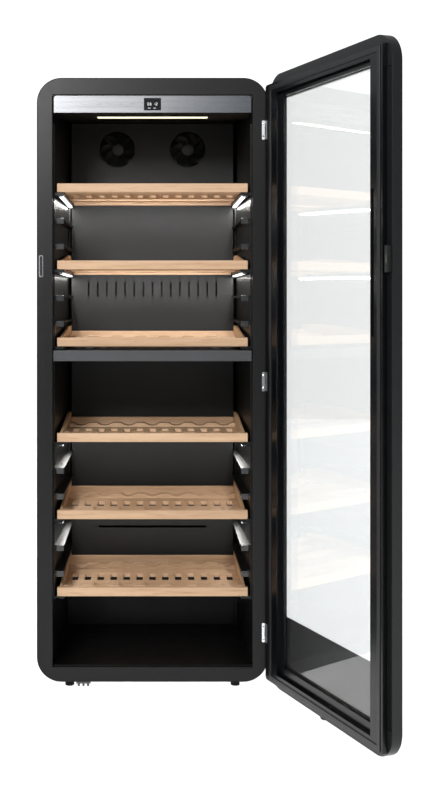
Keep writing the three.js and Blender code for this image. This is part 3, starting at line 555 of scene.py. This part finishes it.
def draw_rotor(node):
    """A domed hub with seven swept, twisted blades."""
    x0, x1, y0, y1, z0, z1 = size(node)
    cx, cz = (x0 + x1) / 2, (z0 + z1) / 2
    rotor = Draw()
    hub = [(0.2, 0), (14, 0.2), (19, 1.2), (20.5, 3.2), (20.5, y1 - y0), (0.2, y1 - y0)]
    rotor.lathe(hub, (cx, y0, cz), "y", 48, 1)
    middle = (y0 + y1) / 2
    for k in range(7):
        rings = []
        for step in range(9):
            t = step / 8
            radius = 18 + (56.5 - 18) * t
            sweep = 2 * math.pi * k / 7 + 0.55 * t * t
            pitch = math.radians(48 - 16 * t)
            half = 8.5 + 4 * math.sin(math.pi * min(1, t * 0.8))
            ring = []
            for u, lift in ((-1, 0), (-0.4, 0.9), (0.3, 0.9), (1, 0), (0.3, -0.9), (-0.4, -0.9)):
                run = half * u * math.cos(pitch) + lift * math.sin(pitch)
                deep = half * u * math.sin(pitch) * 0.78 - lift * math.cos(pitch)
                turn = sweep + run / radius
                ring.append((cx + radius * math.cos(turn), middle + deep, cz + radius * math.sin(turn)))
            rings.append(ring)
        rotor.loft(rings)
    name = node.replace("rotor", "blades")
    made = rotor.make(name, BODY[node], [fan_plastic, hub_plastic])
    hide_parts(node)


for name in ("fan_rotor_left", "fan_rotor_right"):
    draw_rotor(name)

# ---------------------------------------------------------------- side lights


def draw_side_light(node):
    """Two lit bars, each a dark channel round a ribbed lens, and the channel that joins them."""
    x0, x1, y0, y1, z0, z1 = size(node)
    bars = Draw()
    lenses = Draw()
    out = -1 if x0 < 0 else 1
    inner, outer = sorted((abs(x0), abs(x1)))
    across = lambda a, b: sorted((out * a, out * b))
    for top in (z1, z0 + 6):
        low = top - 6
        bars.block(*across(inner, outer), y0, y1, top - 1.4, top)
        bars.block(*across(outer - 1.2, outer), y0, y1, low, top - 1.6)
        bars.block(*across(inner, outer - 1.4), y0, y0 + 1.5, low, top - 1.6)
        bars.block(*across(inner, outer - 1.4), y1 - 1.5, y1, low, top - 1.6)
        lenses.block(*across(inner + 0.3, outer - 1.6), y0 + 1.7, y1 - 1.7, low + 0.3, top - 1.8)
    bars.block(*across(outer - 6, outer), y1 - 11, y1 - 1.6, z0 + 6.2, z1 - 6.2)
    channel = node.replace("side_light", "light_channel")
    shell = bars.make(channel, "cabinet", [liner_plastic], 0.0004)
    lenses.make(node.replace("side_light", "light_lens"), "cabinet", [side_glow], 0.0008)
    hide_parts(node)


def draw_lamp(node):
    """A flat lamp: a dark tray with end caps and a lit lens in its underside."""
    x0, x1, y0, y1, z0, z1 = size(node)
    tray = Draw()
    tray.block(x0, x1, y0, y1, z1 - 1.2, z1)
    tray.block(x0, x1, y0, y0 + 1.6, z0 + 0.4, z1 - 1.3)
    tray.block(x0, x1, y1 - 1.6, y1, z0, z1 - 1.3)
    for a, b in ((x0, x0 + 7), (x1 - 7, x1)):
        tray.block(a, b, y0 + 1.7, y1 - 1.7, z0, z1 - 1.3)
    shell = tray.make(node.replace("light", "lamp_tray"), "cabinet", [liner_plastic], 0.0003)
    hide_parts(node)
    lens = Draw()
    lens.block(x0 + 7.3, x1 - 7.3, y0 + 1.9, y1 - 1.9, z0 + 0.6, z1 - 1.5)
    lens.make(node.replace("light", "lamp_lens"), "cabinet", [lamp_glow], 0.0006)


draw_lamp("ceiling_light")
draw_lamp("divider_light")
for zone in ("upper", "lower"):
    for hand in ("left", "right"):
        draw_side_light(f"side_light_{zone}_{hand}")

# ---------------------------------------------------------------- small pieces on the cabinet


CASING_CORNER = 75


def casing_path(inset):
    """The casing's outline in X and Z, set in evenly."""
    x0, x1, _, _, z0, z1 = size("front_bezel")
    radius = CASING_CORNER - inset
    return corner_path(x0 + inset, x1 - inset, z0 + inset, z1 - inset, radius, 12)


def draw_edge_shade():
    """A near-black ring over the front frame's outer edge: painted shade for the dark line along that edge.
    """
    edge_shade_ring = Draw()
    profile = [(0, 3.4), (0.05, 2.0), (1.3, 0.5), (3.2, -0.12), (3.4, 0.3), (1.6, 1.2), (0.5, 3.3)]
    loops = [[(x, y, z) for x, z in casing_path(inset)] for inset, y in profile]
    edge_shade_ring.loft(loops, close=True)
    edge_shade_ring.make("bezel_seam", "cabinet", [edge_shade_black])


def draw_noses():
    """A rounded nose on each ledge that holds no shelf."""
    for zone in ("upper", "lower"):
        for hand, side in (("left", -1), ("right", 1)):
            ledges = Draw()
            first = "wine_shelf_1" if zone == "upper" else "wine_shelf_4"
            top = size(first)[5] - BOARD_RISE - FASCIA_HEIGHT - LEDGE_GAP
            pitch = size("wine_shelf_1")[5] - size("wine_shelf_2")[5]
            for i in (1, 2, 4, 5):
                z = top - i * pitch / 3
                x0, x1 = sorted((side * 270, side * 292))
                ledges.block(x0, x1, 20, 29.7, z - 17, z)
                a, b = sorted((side * 272, side * 290))
                ledges.block(a, b, 19.2, 20.3, z - 13, z - 4)
            ledges.make(f"ledge_nose_{zone}_{hand}", "cabinet", [nose_plastic], 0.0018)


def draw_bracket(word):
    """A chromed leaf with two screws, and a blackened knuckle with its pin."""
    x0, x1, y0, y1, z0, z1 = size(f"hinge_bracket_{word}")
    middle = (z0 + z1) / 2
    axis_x = x1 - 5
    axis_y = y0 + 5
    bracket = Draw()
    leaf = corner_path(x0 + 1.8, x0 + 10.5, z0, z1, 3, 4)
    bracket.prism(leaf, "y", -3.3, -0.3, 0)
    bracket.block(x0 + 10.8, x1 - 4.2, -3.0, -0.3, z0 + 1, z1 - 1, 1)
    for dz in (-19, 19):
        head = [(0.1, -0.9), (2.2, -0.8), (3.2, -0.1), (3.2, 0.2), (0.1, 0.2)]
        bracket.lathe(head, (x0 + 6.2, -3.4, middle + dz), "y", 20, 0)
        bracket.block(x0 + 4.2, x0 + 8.2, -4.4, -4.25, middle + dz - 0.4, middle + dz + 0.4, 1)
    bracket.block(axis_x - 6.5, axis_x + 0.8, axis_y + 0.5, -3.2, middle - 11.9, middle + 11.9, 1)
    barrel = [(0.1, -11.9), (4.6, -11.9), (4.95, -11.5), (4.95, 11.5), (4.6, 11.9), (0.1, 11.9)]
    bracket.lathe(barrel, (axis_x, axis_y, middle), "z", 28, 1)
    bracket.lathe([(0.1, -28), (2.4, -28), (2.4, 28), (0.1, 28)], (axis_x, axis_y, middle), "z", 20, 1)
    made = bracket.make(f"hinge_{word}", "cabinet", [chrome, black_steel], 0.0003)
    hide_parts(f"hinge_bracket_{word}")


# near-black material: painted shade for the front frame's outer edge line
edge_shade_black = moulded("edge_shade_black", (0.001, 0.001, 0.001), 0.8, 900, 0.1, Specular_IOR_Level=0.03)
nose_plastic = moulded("nose_plastic", (0.03, 0.031, 0.032), 0.22, 1600, 0.08)
draw_edge_shade()
draw_noses()
for word in ("upper", "middle", "lower"):
    draw_bracket(word)

# ---------------------------------------------------------------- display and control strip

SEGMENTS = {"0": "abcdef", "1": "bc", "2": "abged", "8": "abcdefg"}


def draw_digits():
    """Generic seven-segment figures and two small marks, just proud of the display's glass."""
    x0, x1, y0, y1, z0, z1 = size("display_window")
    cx, cz = (x0 + x1) / 2, (z0 + z1) / 2
    digits = Draw()
    w, h, thick = 3.4, 7.4, 0.55
    places = {
        "a": (0, h, w, thick), "d": (0, 0, w, thick), "g": (0, h / 2, w, thick),
        "b": (w, h / 2, thick, h / 2), "c": (w, 0, thick, h / 2),
        "f": (0, h / 2, thick, h / 2), "e": (0, 0, thick, h / 2),
    }
    for text, start in (("08", cx - 15), ("12", cx + 4)):
        for i, figure in enumerate(text):
            for segment in SEGMENTS[figure]:
                px, pz, dx, dz = places[segment]
                left, low = start + i * 7 + px, cz - h / 2 + pz
                digits.block(left, left + dx, y0 - 0.25, y0 - 0.02, low, low + dz)
    for dx in (-14, 3):
        digits.block(cx + dx, cx + dx + 8, y0 - 0.25, y0 - 0.02, cz - 12.5, cz - 11.7)
    digits.make("display_digits", "cabinet", [digit_glow])


def draw_marks():
    """Small printed touch marks, left of the display."""
    x0, x1, y0, y1, z0, z1 = size("control_fascia")
    cz = (z0 + z1) / 2
    turns = [math.pi * k / 10 for k in range(20)]
    marks = Draw()
    for i in range(4):
        x = -62 - 33 * i
        circle, hole = ([(x + r * math.cos(t), cz + r * math.sin(t)) for t in turns] for r in (2.6, 2))
        marks.ring(circle, hole, "y", y0 - 0.15, y0 - 0.01)
        marks.block(x - 0.3, x + 0.3, y0 - 0.15, y0 - 0.01, cz - 0.4, cz + 3.4)
    marks.make("touch_marks", "cabinet", [mark_print])


draw_digits()
draw_marks()

# ---------------------------------------------------------------- band printed at the foot of the glass

BAND = {"x0": -239.7, "x1": 276.7, "y0": -36, "y1": -34.5, "z0": 68, "z1": 219}


def band_shade():
    """Grey print on foil, with painted shade along it: lighter toward the door's free edge, darker toward
    the hinge.
    """
    made = moulded("printed_band", (0.1, 0.1, 0.1), 0.55, 1400, 0.05, Specular_IOR_Level=0.2)
    where = made.node("ShaderNodeTexCoord")
    apart = made.node("ShaderNodeSeparateXYZ")
    made.link(where.outputs["Generated"], apart.inputs[0])
    grain = made.noise(30, 3)
    mixed = made.node("ShaderNodeMath", operation="MULTIPLY_ADD")
    mixed.inputs[1].default_value = 0.12
    made.link(grain, mixed.inputs[0])
    made.link(apart.outputs["Y"], mixed.inputs[2])
    # the print's grey, lighter at the free edge and darker at the hinge end: painted shade
    print_tone_and_falloff = [(0.1, (0.07, 0.07, 0.071)), (0.95, (0.035, 0.035, 0.036))]
    made.link(made.ramp(mixed.outputs[0], print_tone_and_falloff), made.bsdf.inputs["Base Color"])
    return made


band = Draw()
foil = corner_path(BAND["x0"], BAND["x1"], BAND["z0"], BAND["z1"], 2, 3)
band.prism(foil, "y", BAND["y0"], BAND["y1"])
band.make("glass_band", "door", [band_shade()], 0.0002, on_door=True)

# ---------------------------------------------------------------- camera, world, floor and lights

camera_data = bpy.data.cameras.new("camera")
camera = bpy.data.objects.new("camera", camera_data)
scene.collection.objects.link(camera)
camera.location = (0, -3.980, 1.154)
camera.rotation_euler = (math.radians(90), 0, 0)
camera_data.lens = 54.86
camera_data.shift_x = 0.0844
camera_data.shift_y = -0.1215
camera_data.clip_end = 50
scene.camera = camera
scene.view_settings.view_transform = "Standard"

world = bpy.data.worlds.new("studio")
scene.world = world
world.use_nodes = True
wt = world.node_tree


def world_node(kind, **settings):
    made = wt.nodes.new(kind)
    for key, value in settings.items():
        if key in made.inputs:
            made.inputs[key].default_value = value
        else:
            setattr(made, key, value)
    return made


white = wt.nodes["Background"]
white.inputs["Color"].default_value = (1, 1, 1, 1)
white.inputs["Strength"].default_value = 1.15
where = world_node("ShaderNodeTexCoord")
apart = world_node("ShaderNodeSeparateXYZ")
wt.links.new(where.outputs["Generated"], apart.inputs[0])
ahead = world_node("ShaderNodeMapRange")  # dim in front of the cabinet, bright behind it
ahead.inputs["From Min"].default_value = -1
ahead.inputs["From Max"].default_value = 0.6
ahead.inputs["To Min"].default_value = 0.22
ahead.inputs["To Max"].default_value = 0.6
wt.links.new(apart.outputs["Y"], ahead.inputs["Value"])
softer = world_node("ShaderNodeBackground")
softer.inputs["Color"].default_value = (0.94, 0.97, 1, 1)
wt.links.new(ahead.outputs["Result"], softer.inputs["Strength"])
path = world_node("ShaderNodeLightPath")
seen = world_node("ShaderNodeMath", operation="MAXIMUM")
wt.links.new(path.outputs["Is Camera Ray"], seen.inputs[0])
wt.links.new(path.outputs["Is Transmission Ray"], seen.inputs[1])
choose = world_node("ShaderNodeMixShader")
wt.links.new(seen.outputs[0], choose.inputs["Fac"])
wt.links.new(softer.outputs[0], choose.inputs[1])
wt.links.new(white.outputs[0], choose.inputs[2])
wt.links.new(choose.outputs[0], wt.nodes["World Output"].inputs["Surface"])

floor_shade = Shade("floor_white", (0.6, 0.6, 0.6), 0.9)
floor_shade.vary_colour(floor_shade.noise(2, 2), 0.01)
plain = bmesh.new()
for x, y in ((-6, -6), (6, -6), (6, 8), (-6, 8)):
    plain.verts.new((x, y, FLOOR - 0.0003))
plain.faces.new(plain.verts)
floor_data = bpy.data.meshes.new("floor")
plain.to_mesh(floor_data)
plain.free()
floor = bpy.data.objects.new("floor", floor_data)
floor_data.materials.append(floor_shade.material)
scene.collection.objects.link(floor)


def area(name, place, aim, power, wide, high, colour=(1, 1, 1)):
    """An area light at a place, facing another place; both in metres."""
    data = bpy.data.lights.new(name, "AREA")
    data.shape = "RECTANGLE"
    data.size, data.size_y = wide, high
    data.energy = power
    data.color = colour
    lit = bpy.data.objects.new(name, data)
    lit.location = place
    lit.rotation_euler = (Vector(aim) - Vector(place)).to_track_quat("-Z", "Y").to_euler()
    lit.visible_camera = False
    scene.collection.objects.link(lit)
    return lit


floor_only = bpy.data.collections.new("floor_only")
floor_only.objects.link(floor)
overhead = bpy.data.lights.new("overhead", "SUN")
overhead.energy = 5.2
overhead.use_shadow = False
overhead_lamp = bpy.data.objects.new("overhead", overhead)
overhead_lamp.light_linking.receiver_collection = floor_only
scene.collection.objects.link(overhead_lamp)
area("key_left", (-1.25, -3.8, 2.75), (-0.3, -0.3, 1.8), 120, 0.8, 0.9)
area("front_fill", (-0.6, -5.5, 2.8), (0, -0.3, 1.4), 24, 3, 1.6)

for name, power in (("side_light_upper", 0.75), ("side_light_lower", 0.3)):
    x0, x1, y0, y1, z0, z1 = size(name + "_left")
    for i, z in enumerate((z1 - 6, z0)):
        for side in (-1, 1):
            place = PLACE @ Vector((side * -(x0 + x1) / 2, (y0 + y1) / 2, z - 3))
            aim = place + Vector((side * -0.02, 0, -0.1))
            area(f"{name}_{i}_{side}", place, aim, power, 0.43, 0.01, (1, 0.98, 0.94))
        place = PLACE @ Vector((0, 260, z - 12))
        wash = area(f"{name}_{i}_back", place, place + Vector((0, 1, -0.35)), power * 0.7, 0.5, 0.03)
        wash.data.spread = math.radians(120)
for name, power in (("ceiling_light", 0.42), ("divider_light", 0.14)):
    x0, x1, y0, y1, z0, z1 = size(name)
    place = PLACE @ Vector((0, (y0 + y1) / 2, z0 - 1))
    area(name + "_glow", place, place + Vector((0, 0.12, -1)), power, 0.35, 0.03, (1, 0.94, 0.8))
